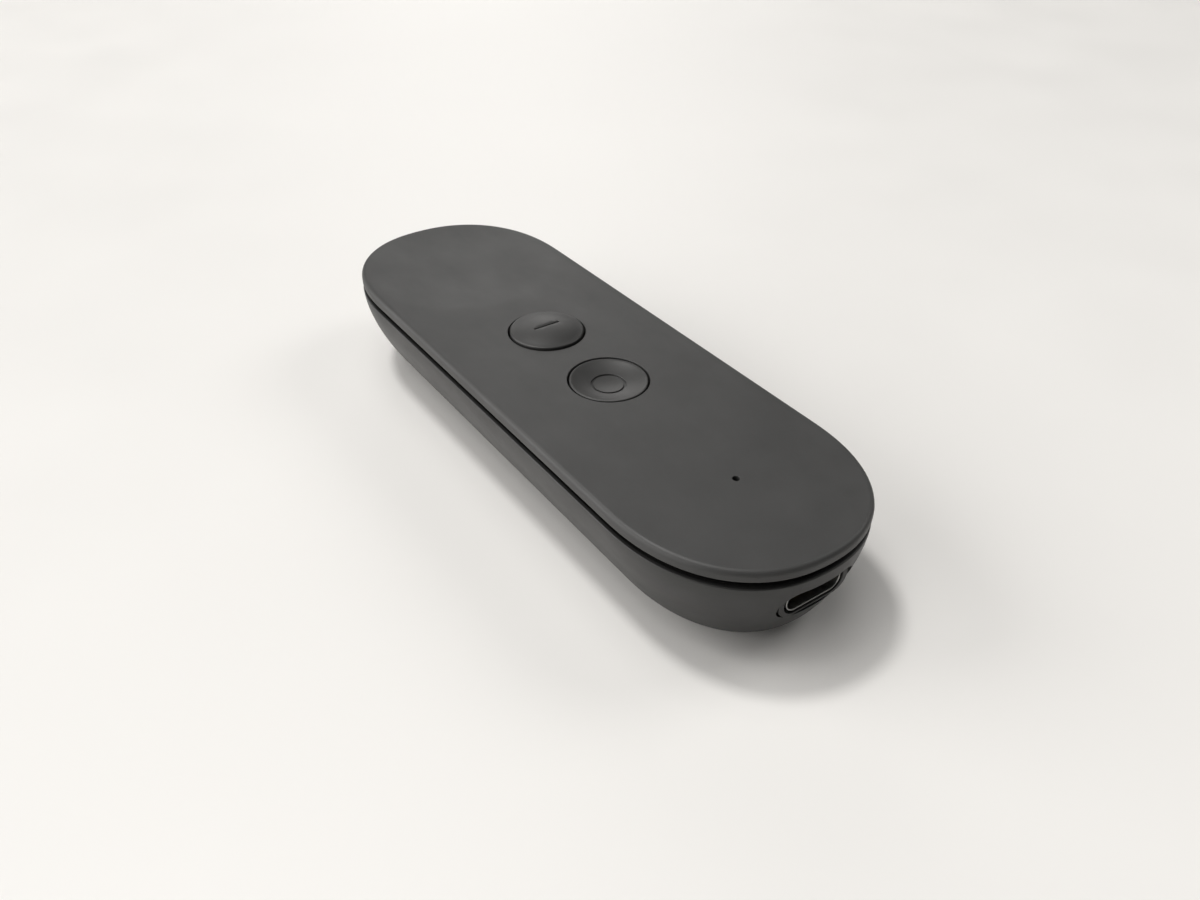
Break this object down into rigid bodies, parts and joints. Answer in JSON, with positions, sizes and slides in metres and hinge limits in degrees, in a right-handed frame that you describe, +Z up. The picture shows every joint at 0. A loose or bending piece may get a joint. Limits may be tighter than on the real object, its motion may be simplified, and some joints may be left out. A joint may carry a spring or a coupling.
{
  "type": "vr motion controller",
  "caption": "Slim handheld pointing controller with a clickable touch cover, two round face buttons, side volume keys and a charging port at its rear end.",
  "frame": {"origin": "middle of the body's plan outline, on the plane the belly rests on", "axes": "+Y the pointing direction, towards the touchpad end; +Z up through the touch cover; +X towards the volume keys"},
  "size_m": [0.0346, 0.105, 0.0173],
  "materials": {
    "cover_plastic": "fine matte texture, dark warm grey",
    "shell_plastic": "smooth soft matte, dark warm grey",
    "button_plastic": "smooth satin, dark grey",
    "frame_plastic": "moulded black",
    "circuit_board": "green solder mask",
    "chip_black": "moulded black epoxy",
    "shield_steel": "satin stamped steel",
    "contact_gold": "gold flash",
    "cell_wrap": "foil pouch",
    "foam_grey": "closed-cell foam",
    "flex_amber": "amber polyimide",
    "wire_red": "red insulation",
    "wire_black": "black insulation",
    "light_guide": "clear acrylic, frosted ends"
  },
  "bodies": {
    "chassis": {"antenna_strip": "flex_amber", "app_plunger": "frame_plastic", "app_switch": "chip_black", "battery_cell": "cell_wrap", "battery_foam": "foam_grey", "battery_lead_black": "wire_black", "battery_lead_red": "wire_red", "battery_socket": "chip_black", "bottom_shell": "shell_plastic", "charge_chip": "chip_black", "compass_chip": "chip_black", "cover_pivot_pin": "shield_steel", "flex_socket": "chip_black", "frame_screw_1": "shield_steel", "frame_screw_2": "shield_steel", "frame_screw_3": "shield_steel", "frame_screw_4": "shield_steel", "home_plunger": "frame_plastic", "home_switch": "chip_black", "light_pipe": "light_guide", "main_board": "circuit_board", "mid_frame": "frame_plastic", "motion_sensor": "chip_black", "port_bezel": "shell_plastic", "radio_shield": "shield_steel", "side_key_board": "circuit_board", "status_light": "light_guide", "touch_flex": "flex_amber", "touch_plunger": "frame_plastic", "touch_switch": "chip_black", "usb_contacts": "contact_gold", "usb_shell": "shield_steel", "usb_tongue": "chip_black", "volume_down_plunger": "frame_plastic", "volume_down_switch": "chip_black", "volume_up_plunger": "frame_plastic", "volume_up_switch": "chip_black"},
    "touch_cover": {"top_cover": "cover_plastic", "touch_board": "circuit_board", "touch_actuator": "frame_plastic"},
    "app_button": {"app_button": "button_plastic"},
    "home_button": {"home_button": "button_plastic"},
    "volume_up_key": {"volume_up_key": "button_plastic"},
    "volume_down_key": {"volume_down_key": "button_plastic"}
  },
  "joints": [
    {"name": "touchpad_click", "type": "hinge", "parent": "chassis", "child": "touch_cover", "pos_m": [0, -0.044, 0.0136], "axis": [-1, 0, 0], "range_deg": [0, 0.2], "stiffness_Nm_per_rad": 6, "springref_deg": -0.23},
    {"name": "app_button_press", "type": "slide", "parent": "chassis", "child": "app_button", "axis": [0, 0, -1], "range_m": [0, 0.00028], "stiffness_N_per_m": 2500, "springref_m": -0.0004},
    {"name": "home_button_press", "type": "slide", "parent": "chassis", "child": "home_button", "axis": [0, 0, -1], "range_m": [0, 0.00028], "stiffness_N_per_m": 2500, "springref_m": -0.0004},
    {"name": "volume_up_press", "type": "slide", "parent": "chassis", "child": "volume_up_key", "axis": [-1, 0, 0], "range_m": [0, 0.00028], "stiffness_N_per_m": 2500, "springref_m": -0.0004},
    {"name": "volume_down_press", "type": "slide", "parent": "chassis", "child": "volume_down_key", "axis": [-1, 0, 0], "range_m": [0, 0.00028], "stiffness_N_per_m": 2500, "springref_m": -0.0004}
  ]
}
